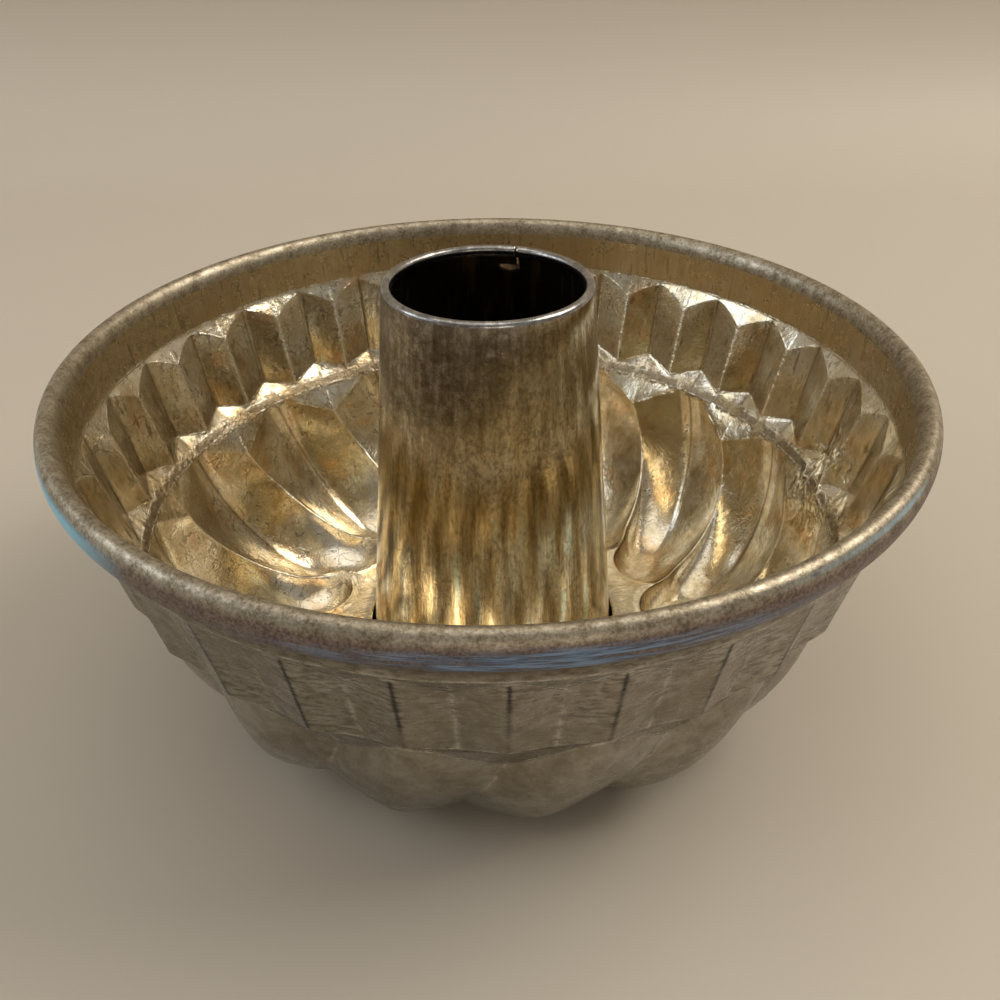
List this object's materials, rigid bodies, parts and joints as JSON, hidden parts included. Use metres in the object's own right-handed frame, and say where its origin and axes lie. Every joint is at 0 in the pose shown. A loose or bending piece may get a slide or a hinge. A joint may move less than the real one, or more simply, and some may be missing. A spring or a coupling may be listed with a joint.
{
  "type": "fluted tube pan",
  "caption": "Round fluted ring mould of old tinned sheet steel with a rolled rim, swirled lobes that it stands on, and an open tapered centre tube.",
  "frame": {"origin": "centre of the pan on the plane that its lobes stand on, open side up", "axes": "+Z is the pan's axis, up out of the open side; the tube's lap seam lies at 72 degrees from +X towards +Y"},
  "size_m": [0.2198, 0.2198, 0.1134],
  "materials": {
    "tinplate_body": "aged tinplate, worn to warm brown and gold, dull bright at the edges",
    "tinplate_tube": "aged tinplate, mottled dark grey to golden brown with streaks along the tube"
  },
  "bodies": {
    "root": {"mould_body": "tinplate_body", "centre_tube": "tinplate_tube"}
  },
  "joints": []
}
